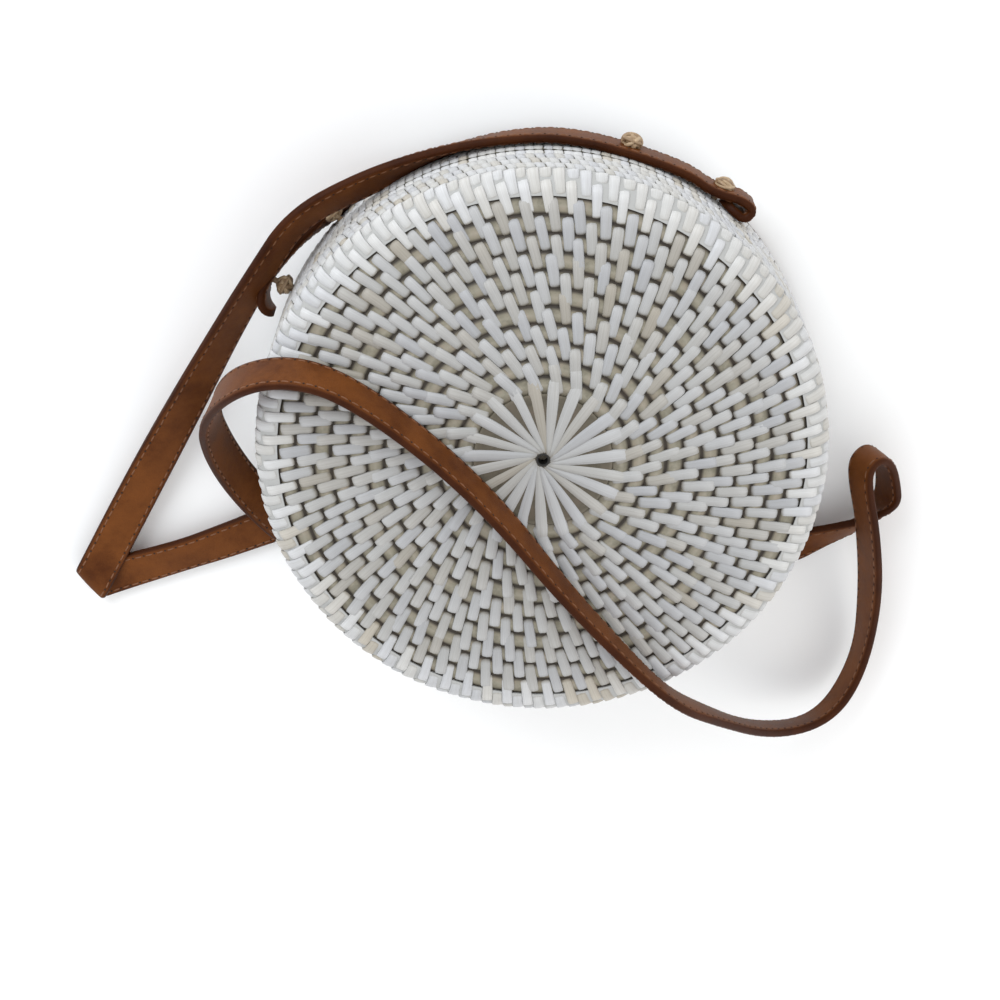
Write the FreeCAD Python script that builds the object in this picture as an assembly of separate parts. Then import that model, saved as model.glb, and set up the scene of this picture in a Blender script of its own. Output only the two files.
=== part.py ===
# Round woven shoulder bag of two dished halves, lying on its back with its leather strap laid over it.
# Millimetres. The origin is on the surface under the middle of the back, +Z up through the front face,
# and +Y towards the bag's top, where the strap is tied on.

import FreeCAD, Part
import math
import os
from FreeCAD import Vector

# Whole bag
BAG_DIAMETER = 200.0
BAG_DEPTH = 80.0
SEAM_GAP = 0.3
JOIN_GAP = 0.1

# Coiled and overcast shell of one half
SHELL_THICKNESS = 5.0
ROW_DEPTH = 0.8
CORNER_RADIUS = 8.0
DOME_RISE = 5.0
STAR_RADIUS = 24.0
CENTRE_HOLE_RADIUS = 1.7
FACE_ROWS = 11
WALL_ROWS = 3
RIM_HEIGHT = 5.9
RIM_INWARD_STEP = 0.8
RIM_CROWN = 0.8

# Cloth lining
LINING_THICKNESS = 1.0

# Magnet catch at the top of the rims
POCKET_DEPTH = 10.0
POCKET_HEIGHT = 4.0
POCKET_ANGLE = 14.0
POCKET_SET_BACK = 0.3
MAGNET_RADIUS = 3.5
MAGNET_THICKNESS = 2.0
MAGNET_CLEARANCE = 0.1

# Cane hinge rings at the bottom of the rims
HINGE_OUTSET = 0.6
HINGE_RING_RADIUS = 9.5
HINGE_CANE_RADIUS = 1.2
HINGE_CLEARANCE = 0.3
HINGE_SPACING = 28.0

# Leather strap
STRAP_WIDTH = 15.0
STRAP_THICKNESS = 3.5
BEND_RUN_SHARE = 0.45

# Cane knots that tie the strap to the back wall
KNOT_RADIUS = 4.0
KNOT_RISE = 1.9
KNOT_BEAD_RADIUS = 2.4
KNOT_BEAD_RISE = 1.0
KNOT_CANE_RADIUS = 1.1
KNOT_HOLE_CLEARANCE = 0.3
KNOT_SEAT_GAP = 0.3

# Route of the strap, one point of its middle line in each row: its place to the right and towards the top,
# in hundredths of the bag's radius, its height as a share of the bag's depth and a lift in millimetres,
# then where the strap's width points, as a compass direction and a rise above the level, in degrees.
# From the right-hand end over the top, round the left and over the front,
# then back under the edge to the left-hand end, with a name for each stretch.
STRAP_ROUTE = {
    "strap_right_end": [
        (90.1, 52.0, 0.35, 0.0, 0, 90),
        (70.3, 76.7, 0.35, 0.0, 0, 90),
        (36.4, 97.4, 0.35, 0.0, 0, 90),
    ],
    "strap_top_run": [
        (10.9, 103.9, 0.35, 0.0, 84, 90),
        (-14.9, 106.0, 0.356, 0.0, 98, 88),
        (-40.5, 102.8, 0.362, 0.0, 111, 84),
        (-65.4, 97.0, 0.362, 0.0, 124, 76),
        (-91.0, 76.5, 0.3, 0.0, 140, 62),
        (-120.0, 42.0, 0.194, 0.0, 137, 42),
        (-138.5, 19.0, 0, 10.5, 137, 24),
    ],
    "strap_left_fold": [
        (-159.0, -4.0, 0, 7.4, 136, 8),
        (-187.0, -33.5, 0, 6.8, 115, 0),
        (-187.0, -33.5, 0, 2.4, 115, 0),
        (-151.0, -31.0, 0, 5.7, 95, 25),
    ],
    "strap_left_curl": [
        (-131.0, -29.5, 0, 4.6, 95, 15),
        (-108.0, -27.0, 0, 2.4, 59, 0),
        (-108.0, -27.0, 0, 6.8, 59, 0),
        (-116.5, -5.0, 0.2, 0.0, 20, -45),
        (-117.5, 18.0, 0.425, 0.0, 5, -62),
        (-114.0, 39.5, 0.688, 0.0, -20, -84),
    ],
    "strap_front_run": [
        (-98.5, 55.5, 0.963, 0.0, 110, -74),
        (-77.5, 58.5, 1, 6.0, 76, -56),
        (-59.0, 47.5, 1, 6.0, 48, -50),
        (-35.5, 17.5, 1, 8.0, 34, -54),
        (-18.5, -12.5, 1, 8.6, 27, -60),
        (-4.0, -47.0, 1, 8.2, 24, -66),
        (12.5, -79.5, 1, 6.8, 28, -68),
        (22.4, -97.0, 1, 3.4, 29, -68),
    ],
    "strap_right_run": [
        (31.4, -113.5, 0.825, 0.0, 32, -66),
        (50.7, -143.0, 0.425, 0.0, 50, -62),
        (75.0, -155.0, 0.181, 0.0, 100, -60),
        (94.0, -137.0, 0, 9.8, 150, -62),
        (104.0, -106.0, 0.212, 0.0, 161, -64),
        (107.5, -75.0, 0.338, 0.0, 161, -68),
    ],
    "strap_right_loop": [
        (108.0, -55.5, 0.35, 0.0, 161, -68),
        (110.5, -47.5, 0.331, 0.0, 161, -70),
        (116.5, -45.5, 0.294, 0.0, 161, -72),
        (121.0, -51.0, 0.237, 0.0, 161, -72),
        (121.5, -62.0, 0.175, 0.0, 161, -70),
        (118.0, -73.0, 0, 10.6, 185, -64),
        (109.0, -80.5, 0, 8.7, 235, -48),
    ],
    "strap_under_run": [
        (96.0, -84.5, 0, 7.7, 272, -36),
        (76.0, -90.0, 0, 6.8, 314, 0),
        (76.0, -90.0, 0, 2.4, 314, 0),
        (85.0, -57.0, 0, 2.0, 342, 0),
        (92.4, -19.6, 0, 2.0, -12, 0),
        (92.4, 19.6, 0, 2.0, 12, 0),
        (77.4, 54.2, 0, 2.0, 35, 0),
        (53.9, 79.9, 0, 2.5, 56, 4),
        (31.0, 95.4, 0, 4.4, 72, 20),
    ],
    "strap_left_end": [
        (7.2, 102.7, 0, 6.7, 86, 42),
        (-14.4, 102.4, 0, 9.9, 98, 86),
        (-36.2, 96.9, 0.25, 0.0, 110, 90),
        (-70.5, 77.0, 0.3, 0.0, 0, 90),
        (-90.1, 52.0, 0.3, 0.0, 0, 90),
    ],
}

# Knots that tie down the first runs of the strap, and those that tie down its last runs
RIGHT_KNOTS = ["strap_knot_right_lower", "strap_knot_right_upper"]
LEFT_KNOTS = ["strap_knot_left_upper", "strap_knot_left_lower"]

# Worked out from the sizes above. Heights named from_seam are measured outwards from the seam plane.
OUTER_RADIUS = BAG_DIAMETER / 2
INNER_RADIUS = OUTER_RADIUS - SHELL_THICKNESS
SEAM_HEIGHT = BAG_DEPTH / 2
HALF_DEPTH = BAG_DEPTH / 2
FACE_RADIUS = OUTER_RADIUS - CORNER_RADIUS
DOME_SPAN = FACE_RADIUS - STAR_RADIUS
DOME_RADIUS = (DOME_SPAN**2 + DOME_RISE**2) / (2 * DOME_RISE)
CORNER_FROM_SEAM = HALF_DEPTH - DOME_RISE - CORNER_RADIUS
RIM_FROM_SEAM = SEAM_GAP / 2
WALL_FROM_SEAM = RIM_FROM_SEAM + RIM_HEIGHT + JOIN_GAP
RIM_INNER_RADIUS = INNER_RADIUS - RIM_INWARD_STEP
LINING_OUTER_RADIUS = INNER_RADIUS - JOIN_GAP
LINING_INNER_RADIUS = LINING_OUTER_RADIUS - LINING_THICKNESS
POCKET_FROM_SEAM = RIM_FROM_SEAM + POCKET_SET_BACK
POCKET_OUTER_RADIUS = RIM_INNER_RADIUS - JOIN_GAP
HINGE_Y = -(OUTER_RADIUS + HINGE_OUTSET)

PER_CENT = 0.01
UP = Vector(0, 0, 1)
ALONG_HINGE = Vector(1, 0, 0)
ORIGIN = Vector(0, 0, 0)


def at(radius, from_seam):
    """A point of a front-half profile, in the plane of +X and +Z."""
    return Vector(radius, 0, SEAM_HEIGHT + from_seam)


def line(start, end):
    return Part.LineSegment(start, end).toShape()


def arc(start, middle, end):
    return Part.Arc(start, middle, end).toShape()


def chain(points):
    """Straight edges from each point to the next."""
    return [line(a, b) for a, b in zip(points, points[1:])]


def turned(edges):
    """Solid of revolution about the bag's own axis."""
    profile = Part.Face(Part.Wire(edges))
    return profile.revolve(ORIGIN, UP, 360)


def other_half(shape):
    """The same piece of the back half."""
    return shape.mirror(Vector(0, 0, SEAM_HEIGHT), UP)


def dome_from_seam(radius):
    """Outer height of the face: level inside the star, then falling away on one round arc."""
    out = max(radius - STAR_RADIUS, 0)
    drop = DOME_RADIUS - math.sqrt(DOME_RADIUS**2 - out**2)
    return HALF_DEPTH - drop


def dome_arc(inset, inward=False):
    """Edge along the dome, inset below its outer face."""
    radii = [STAR_RADIUS, (STAR_RADIUS + FACE_RADIUS) / 2, FACE_RADIUS]
    if inward:
        radii.reverse()
    return arc(*[at(r, dome_from_seam(r) - inset) for r in radii])


def corner_arc(inset, inward=False):
    """Edge round the corner from face to wall, inset from its outer face."""
    radius = CORNER_RADIUS - inset
    angles = [math.radians(a) for a in (90, 45, 0)]
    if inward:
        angles.reverse()
    return arc(*[
        at(FACE_RADIUS + radius * math.cos(a), CORNER_FROM_SEAM + radius * math.sin(a))
        for a in angles
    ])


def front_face():
    """Dished disc: a level star of strips in the middle, then one rounded row for each turn of the coil."""
    row_width = DOME_SPAN / FACE_ROWS
    hole_bottom = at(CENTRE_HOLE_RADIUS, HALF_DEPTH - SHELL_THICKNESS)
    edges = chain([
        hole_bottom,
        at(CENTRE_HOLE_RADIUS, HALF_DEPTH),
        at(STAR_RADIUS, HALF_DEPTH),
        at(STAR_RADIUS, HALF_DEPTH - ROW_DEPTH),
    ])
    for row in range(FACE_ROWS):
        start = STAR_RADIUS + row * row_width
        crest = start + row_width / 2
        end = start + row_width
        edges.append(arc(
            at(start, dome_from_seam(start) - ROW_DEPTH),
            at(crest, dome_from_seam(crest)),
            at(end, dome_from_seam(end) - ROW_DEPTH),
        ))
    outer_edge = at(FACE_RADIUS, dome_from_seam(FACE_RADIUS) - ROW_DEPTH)
    inner_edge = at(FACE_RADIUS, dome_from_seam(FACE_RADIUS) - SHELL_THICKNESS)
    edges.append(line(outer_edge, inner_edge))
    edges.append(dome_arc(SHELL_THICKNESS, inward=True))
    edges.append(line(at(STAR_RADIUS, HALF_DEPTH - SHELL_THICKNESS), hole_bottom))
    return turned(edges)


def front_wall():
    """Side of the half: the rolled corner and the rows of coil below it, down to the rim."""
    row_height = (CORNER_FROM_SEAM - WALL_FROM_SEAM) / WALL_ROWS
    start = FACE_RADIUS + JOIN_GAP
    outer_start = at(start, CORNER_FROM_SEAM + math.sqrt(CORNER_RADIUS**2 - JOIN_GAP**2))
    inner = CORNER_RADIUS - SHELL_THICKNESS
    inner_start = at(start, CORNER_FROM_SEAM + math.sqrt(inner**2 - JOIN_GAP**2))
    slant = math.sqrt(0.5)
    outer_middle = at(FACE_RADIUS + CORNER_RADIUS * slant, CORNER_FROM_SEAM + CORNER_RADIUS * slant)
    inner_middle = at(FACE_RADIUS + inner * slant, CORNER_FROM_SEAM + inner * slant)
    groove = OUTER_RADIUS - ROW_DEPTH
    edges = [
        line(inner_start, outer_start),
        arc(outer_start, outer_middle, at(OUTER_RADIUS, CORNER_FROM_SEAM)),
        line(at(OUTER_RADIUS, CORNER_FROM_SEAM), at(groove, CORNER_FROM_SEAM)),
    ]
    for row in range(WALL_ROWS):
        top = CORNER_FROM_SEAM - row * row_height
        bottom = top - row_height
        edges.append(arc(at(groove, top), at(OUTER_RADIUS, (top + bottom) / 2), at(groove, bottom)))
    edges += chain([
        at(groove, WALL_FROM_SEAM),
        at(INNER_RADIUS, WALL_FROM_SEAM),
        at(INNER_RADIUS, CORNER_FROM_SEAM),
    ])
    edges.append(arc(at(INNER_RADIUS, CORNER_FROM_SEAM), inner_middle, inner_start))
    return turned(edges).cut(hinge_channels())


def front_rim():
    """Overcast hoop along the seam, crowned outwards and a little proud inside."""
    low = RIM_FROM_SEAM
    high = RIM_FROM_SEAM + RIM_HEIGHT
    edge_radius = OUTER_RADIUS - RIM_CROWN
    edges = chain([
        at(edge_radius, high),
        at(RIM_INNER_RADIUS, high),
        at(RIM_INNER_RADIUS, low),
        at(edge_radius, low),
    ])
    edges.append(arc(at(edge_radius, low), at(OUTER_RADIUS, (low + high) / 2), at(edge_radius, high)))
    return turned(edges).cut(hinge_channels())


def front_lining():
    """Cloth cup against the inside of the shell, from rim to rim."""
    outer = SHELL_THICKNESS + JOIN_GAP
    inner = outer + LINING_THICKNESS
    edges = chain([
        at(0, HALF_DEPTH - inner),
        at(0, HALF_DEPTH - outer),
        at(STAR_RADIUS, HALF_DEPTH - outer),
    ])
    edges += [dome_arc(outer), corner_arc(outer)]
    edges += chain([
        at(LINING_OUTER_RADIUS, CORNER_FROM_SEAM),
        at(LINING_OUTER_RADIUS, WALL_FROM_SEAM),
        at(LINING_INNER_RADIUS, WALL_FROM_SEAM),
        at(LINING_INNER_RADIUS, CORNER_FROM_SEAM),
    ])
    edges += [corner_arc(inner, inward=True), dome_arc(inner, inward=True)]
    edges.append(line(at(STAR_RADIUS, HALF_DEPTH - inner), at(0, HALF_DEPTH - inner)))
    return turned(edges).cut(hinge_channels())


def magnet_place():
    """Middle of the front magnet's seam-side face."""
    return Vector(0, POCKET_OUTER_RADIUS - POCKET_DEPTH / 2, SEAM_HEIGHT + POCKET_FROM_SEAM)


def front_magnet_pocket():
    """Small leather pocket inside the top of the rim, with a blind seat for its magnet."""
    low = POCKET_FROM_SEAM
    high = POCKET_FROM_SEAM + POCKET_HEIGHT
    inner_radius = POCKET_OUTER_RADIUS - POCKET_DEPTH
    corners = [
        at(inner_radius, low),
        at(POCKET_OUTER_RADIUS, low),
        at(POCKET_OUTER_RADIUS, high),
        at(inner_radius, high),
        at(inner_radius, low),
    ]
    pocket = Part.Face(Part.Wire(chain(corners))).revolve(ORIGIN, UP, POCKET_ANGLE)
    pocket.rotate(ORIGIN, UP, 90 - POCKET_ANGLE / 2)
    seat = Part.makeCylinder(
        MAGNET_RADIUS + MAGNET_CLEARANCE, MAGNET_THICKNESS + MAGNET_CLEARANCE, magnet_place(), UP)
    return pocket.cut(seat)


def front_magnet():
    return Part.makeCylinder(MAGNET_RADIUS, MAGNET_THICKNESS, magnet_place(), UP)


def hinge_centre(side):
    return Vector(side * HINGE_SPACING / 2, HINGE_Y, SEAM_HEIGHT)


def hinge_ring(side):
    """Cane ring round the hinge line, through a wall of each half."""
    return Part.makeTorus(HINGE_RING_RADIUS, HINGE_CANE_RADIUS, hinge_centre(side), ALONG_HINGE)


def hinge_channels():
    """Round channels that the rings pass through, concentric with the hinge line."""
    radius = HINGE_CANE_RADIUS + HINGE_CLEARANCE
    return [
        Part.makeTorus(HINGE_RING_RADIUS, radius, hinge_centre(side), ALONG_HINGE)
        for side in (-1, 1)
    ]


def route_rows():
    """The strap's whole route, from end to end."""
    return [row for stretch in STRAP_ROUTE.values() for row in stretch]


def route_point(row):
    right, top, depth_share, lift = row[:4]
    unit = OUTER_RADIUS * PER_CENT
    return Vector(right * unit, top * unit, depth_share * BAG_DEPTH + lift)


def width_direction(row):
    across = math.radians(row[4])
    rise = math.radians(row[5])
    return Vector(math.cos(across) * math.cos(rise), math.sin(across) * math.cos(rise), math.sin(rise))


def direction(start, end):
    return (end - start).normalize()


def part_way(width, other, share):
    """Width direction a share of the way from one route point's to the next one's."""
    return (width * (1 - share) + other * share).normalize()


def strap_bends():
    """Sections of the strap at each route point: the start, middle and end of its bend."""
    bends = []
    rows = route_rows()
    last = len(rows) - 1
    for index, row in enumerate(rows):
        corner = route_point(row)
        width = width_direction(row)
        if index in (0, last):
            inner = route_point(rows[1 if index == 0 else last - 1])
            along = direction(corner, inner) if index == 0 else direction(inner, corner)
            bends.append([(corner, along, width)])
            continue
        before = route_point(rows[index - 1])
        after = route_point(rows[index + 1])
        into = direction(before, corner)
        out = direction(corner, after)
        half_turn = into.getAngle(out) / 2
        run_in = (corner - before).Length
        run_out = (after - corner).Length
        trim = BEND_RUN_SHARE * min(run_in, run_out)
        radius = trim / math.tan(half_turn)
        print("bend", index, "radius", round(radius, 1))
        towards_centre = (out - into).normalize()
        sag = radius / math.cos(half_turn) - radius
        width_in = part_way(width, width_direction(rows[index - 1]), trim / run_in)
        width_out = part_way(width, width_direction(rows[index + 1]), trim / run_out)
        bends.append([
            (corner - into * trim, into, width_in),
            (corner + towards_centre * sag, (into + out).normalize(), width),
            (corner + out * trim, out, width_out),
        ])
    return bends


def strap_outline(section):
    """Closed rectangle across the strap, slanted where a fold is."""
    middle, along, width = section
    slant = math.sin(along.getAngle(width))
    across = width * (STRAP_WIDTH / 2 / slant)
    through = along.cross(width).normalize() * (STRAP_THICKNESS / 2)
    corners = [
        middle + across + through,
        middle - across + through,
        middle - across - through,
        middle + across - through,
    ]
    return Part.makePolygon(corners + corners[:1])


def strap_stretch(bends, first, last):
    """Strap from the start of one bend to the start of another, with its length along the middle line."""
    sections = [section for bend in bends[first:last] for section in bend] + [bends[last][0]]
    solid = Part.makeLoft([strap_outline(section) for section in sections], True, True)
    length = sum((b[0] - a[0]).Length for a, b in zip(sections, sections[1:]))
    return solid, length


def knots():
    """Each knot's name, with the number of the run that it ties down."""
    runs = len(route_rows()) - 1
    first_left = runs - len(LEFT_KNOTS)
    right = [(name, run) for run, name in enumerate(RIGHT_KNOTS)]
    return right + [(name, first_left + run) for run, name in enumerate(LEFT_KNOTS)]


def knot_axis(run):
    """Middle of the run that a knot ties down, and the level direction out of the bag there."""
    start, end = route_rows()[run:run + 2]
    middle = (route_point(start) + route_point(end)) * 0.5
    out = Vector(middle.x, middle.y, 0).normalize()
    return middle, out


def knot_hole(run):
    """Hole for a knot's cane through strap, wall and lining."""
    middle, out = knot_axis(run)
    start = Vector(0, 0, middle.z)
    length = Vector(middle.x, middle.y, 0).Length + STRAP_WIDTH
    return Part.makeCylinder(KNOT_CANE_RADIUS + KNOT_HOLE_CLEARANCE, length, start, out)


def cap(radius, rise, centre, out):
    """Ball cut flat on its seat, with its middle a rise above the seat."""
    low = -math.degrees(math.asin(rise / radius))
    return Part.makeSphere(radius, centre, out, low, 90, 360)


def strap_knot(run):
    """Cane knot: a ball outside the strap, its cane through the wall, and a bead inside the lining."""
    middle, out = knot_axis(run)
    axis = Vector(0, 0, middle.z)
    seat_radius = Vector(middle.x, middle.y, 0).Length + STRAP_THICKNESS / 2 + KNOT_SEAT_GAP
    bead_radius = LINING_INNER_RADIUS - KNOT_SEAT_GAP
    ball = cap(KNOT_RADIUS, KNOT_RISE, axis + out * (seat_radius + KNOT_RISE), out)
    bead = cap(KNOT_BEAD_RADIUS, KNOT_BEAD_RISE, axis + out * (bead_radius - KNOT_BEAD_RISE), out * -1)
    cane_start = bead_radius - KNOT_BEAD_RISE
    cane_length = seat_radius + KNOT_RISE - cane_start
    cane = Part.makeCylinder(KNOT_CANE_RADIUS, cane_length, axis + out * cane_start, out)
    return ball.fuse([cane, bead])


def build():
    parts = {
        "front_face": front_face(),
        "front_wall": front_wall(),
        "front_rim": front_rim(),
        "front_lining": front_lining(),
        "front_magnet_pocket": front_magnet_pocket(),
        "front_magnet": front_magnet(),
    }
    for name, shape in list(parts.items()):
        parts[name.replace("front", "back")] = other_half(shape)
    holes = [knot_hole(run) for name, run in knots()]
    for name in ("back_wall", "back_lining"):
        parts[name] = parts[name].cut(trimmed_to_wall(holes))
    parts["hinge_ring_left"] = hinge_ring(-1)
    parts["hinge_ring_right"] = hinge_ring(1)
    for name, run in knots():
        parts[name] = strap_knot(run)
    bends = strap_bends()
    total = 0
    first = 0
    for name, stretch in STRAP_ROUTE.items():
        last = min(first + len(stretch), len(bends) - 1)
        solid, length = strap_stretch(bends, first, last)
        first = last
        section = STRAP_WIDTH * STRAP_THICKNESS
        print(name, "length", round(length, 1), "volume share", round(solid.Volume / (section * length), 3))
        total += length
        parts[name] = solid
    for name in ("strap_right_end", "strap_left_end"):
        parts[name] = parts[name].cut(holes)
    print("strap length", round(total, 1))
    return parts


def trimmed_to_wall(holes):
    """The holes without their first part, so that each pierces one side of the bag only."""
    core = Part.makeCylinder(FACE_RADIUS / 2, BAG_DEPTH, ORIGIN, UP)
    return [hole.cut(core) for hole in holes]


os.makedirs("parts", exist_ok=True)
for node, shape in build().items():
    shape.exportStep("parts/" + node + ".step")
    print(node, "solids", len(shape.Solids), "valid", shape.isValid(), "volume", round(shape.Volume, 1))
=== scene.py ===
# %% [markdown]
# # A round woven shoulder bag
# The bag lies on its back on a pale floor. Two dished halves are coiled from cane and overcast with flat
# white strips; a long leather strap, tied to the back half with cane knots, is laid over the front. The
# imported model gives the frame: its bodies, its nodes and its sizes, all in metres.

# %% Load the frame
import bpy
import bmesh
import math
import random
from mathutils import Matrix, Vector


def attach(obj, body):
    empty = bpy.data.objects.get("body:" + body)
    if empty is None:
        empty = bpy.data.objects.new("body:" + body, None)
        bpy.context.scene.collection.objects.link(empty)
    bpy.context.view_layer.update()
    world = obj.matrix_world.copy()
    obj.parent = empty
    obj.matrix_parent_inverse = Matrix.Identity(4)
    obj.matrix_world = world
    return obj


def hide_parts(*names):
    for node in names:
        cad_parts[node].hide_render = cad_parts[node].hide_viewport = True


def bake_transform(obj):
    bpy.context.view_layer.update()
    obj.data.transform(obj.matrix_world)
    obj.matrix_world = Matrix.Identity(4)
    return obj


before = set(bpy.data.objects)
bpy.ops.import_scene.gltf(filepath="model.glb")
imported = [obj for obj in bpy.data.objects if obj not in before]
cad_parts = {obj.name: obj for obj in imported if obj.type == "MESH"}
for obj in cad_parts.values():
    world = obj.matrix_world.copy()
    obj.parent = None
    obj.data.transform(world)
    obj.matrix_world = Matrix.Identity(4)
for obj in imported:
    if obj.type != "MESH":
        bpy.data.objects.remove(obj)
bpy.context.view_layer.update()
MM = 0.001

# %% [markdown]
# ## The camera
# The photograph looks down on the bag from a little above its top edge. Its direction is kept as two
# angles from the small hole in the middle of the front, with the bag turned a little on the floor. The
# hole isn't in the middle of the picture, so the lens is shifted instead of the view being tilted.

# %% Camera at the photograph's viewing angle
CAMERA_TILT = math.radians(20.3)
CAMERA_COMPASS = math.radians(92.0)
BAG_TURN = math.radians(13.9)
CAMERA_DISTANCE = 0.8
HOLE = Vector((0, 0, 0.080))

towards_camera = Vector((
    math.sin(CAMERA_TILT) * math.cos(CAMERA_COMPASS),
    math.sin(CAMERA_TILT) * math.sin(CAMERA_COMPASS),
    math.cos(CAMERA_TILT),
))
camera_right = Vector((0, 1, 0)).cross(towards_camera).normalized()
camera_up = towards_camera.cross(camera_right)
turn_back = Matrix.Rotation(-BAG_TURN, 3, "Z")
axes = [turn_back @ v for v in (camera_right, camera_up, towards_camera)]
camera_data = bpy.data.cameras.new("camera")
camera_data.sensor_width = 36
camera_data.lens = 83.44
camera_data.shift_x = -0.043
camera_data.shift_y = -0.040
camera = bpy.data.objects.new("camera", camera_data)
place = Matrix(axes).transposed().to_4x4()
place.translation = HOLE + axes[2] * CAMERA_DISTANCE
camera.matrix_world = place
bpy.context.scene.collection.objects.link(camera)
bpy.context.scene.camera = camera
print("camera at", [round(v, 4) for v in camera.location])

# %% [markdown]
# ## Helpers for meshes and materials
# Every piece ends as a plain mesh at the origin. Materials are built from nodes; a small helper adds a
# node, sets its sockets and returns it, which keeps each finish short enough to read.

# %% Mesh helpers
def add_object(name, mesh):
    piece = bpy.data.objects.new(name, mesh)
    bpy.context.scene.collection.objects.link(piece)
    return piece


def mesh_from(name, points, faces):
    mesh = bpy.data.meshes.new(name)
    mesh.from_pydata([tuple(p) for p in points], [], faces)
    mesh.update()
    mesh.shade_smooth()
    return mesh


def mesh_of(work, name, finish=None):
    """Ends the work on a bmesh and returns its mesh, with a finish if there is one yet."""
    mesh = bpy.data.meshes.new(name)
    work.to_mesh(mesh)
    work.free()
    if finish:
        mesh.materials.append(finish)
    return mesh


def outward(mesh, finish=None):
    """Merges doubles, turns every face of a closed mesh outwards and adds a finish if there is one yet."""
    work = bmesh.new()
    work.from_mesh(mesh)
    bmesh.ops.remove_doubles(work, verts=work.verts, dist=1e-6)
    bmesh.ops.recalc_face_normals(work, faces=work.faces)
    work.to_mesh(mesh)
    work.free()
    if finish:
        mesh.materials.append(finish)
    return mesh


print("mesh helpers ready")

# %% Material helpers
def new_material(name):
    material = bpy.data.materials.new(name)
    material.use_nodes = True
    return material, material.node_tree, material.node_tree.nodes["Principled BSDF"]


def add_node(tree, kind, inputs=None, **settings):
    node = tree.nodes.new(kind)
    for key, value in settings.items():
        setattr(node, key, value)
    for key, value in (inputs or {}).items():
        if isinstance(value, bpy.types.NodeSocket):
            tree.links.new(value, node.inputs[key])
        else:
            node.inputs[key].default_value = value
    return node


def ramp(tree, factor, stops):
    """Colour ramp; each stop is a place and a colour."""
    node = add_node(tree, "ShaderNodeValToRGB", {"Fac": factor})
    bar = node.color_ramp.elements
    while len(bar) < len(stops):
        bar.new(0.5)
    for element, (place_on_bar, colour) in zip(bar, stops):
        element.position = place_on_bar
        element.color = (*colour, 1)
    return node.outputs["Color"]


def rgba(colour):
    return colour if isinstance(colour, bpy.types.NodeSocket) else (*colour, 1)


def mixed(tree, factor, first, second, blend="MIX"):
    inputs = {0: factor, 6: rgba(first), 7: rgba(second)}
    return add_node(tree, "ShaderNodeMix", inputs, data_type="RGBA", blend_type=blend).outputs[2]


def times(tree, first, second, share=1.0):
    return mixed(tree, share, first, second, "MULTIPLY")


def noise(tree, vector, scale, detail=3.0, roughness=0.5):
    inputs = {"Vector": vector, "Scale": scale, "Detail": detail, "Roughness": roughness}
    return add_node(tree, "ShaderNodeTexNoise", inputs).outputs["Fac"]


def maths(tree, operation, first, second=0.0):
    return add_node(tree, "ShaderNodeMath", {0: first, 1: second}, operation=operation).outputs[0]


def bump(tree, shader, height, strength, distance):
    node = add_node(tree, "ShaderNodeBump", {"Height": height, "Strength": strength, "Distance": distance})
    tree.links.new(node.outputs["Normal"], shader.inputs["Normal"])


def stretched(tree, vector, scale):
    return add_node(tree, "ShaderNodeMapping", {"Vector": vector, "Scale": scale}).outputs["Vector"]


def between(tree, value, least, most):
    return add_node(tree, "ShaderNodeMapRange", {"Value": value, "To Min": least, "To Max": most}).outputs[0]


def object_place(tree):
    return add_node(tree, "ShaderNodeTexCoord").outputs["Object"]


def paint(tree, shader, colour, roughness):
    """Gives a shader its colour and its roughness, which is a number or a socket."""
    tree.links.new(colour, shader.inputs["Base Color"])
    if isinstance(roughness, bpy.types.NodeSocket):
        tree.links.new(roughness, shader.inputs["Roughness"])
    else:
        shader.inputs["Roughness"].default_value = roughness


print("material helpers ready")

# %% [markdown]
# ## The white strip
# Each strip of split cane is painted white, but not evenly: one is a little cooler, the next creamier,
# and fine streaks run along it. The strip's own UV map runs along and across it, and a random number
# stored on each copy shifts its tint. Both ends sink between the rows, and painted shade darkens them
# there; the inner half is painted a little darker than the swell near the outer end. Strips on the
# corner, the wall and the rim are a brighter copy with painted light, those of the faces a darker copy
# with painted shade.

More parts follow.
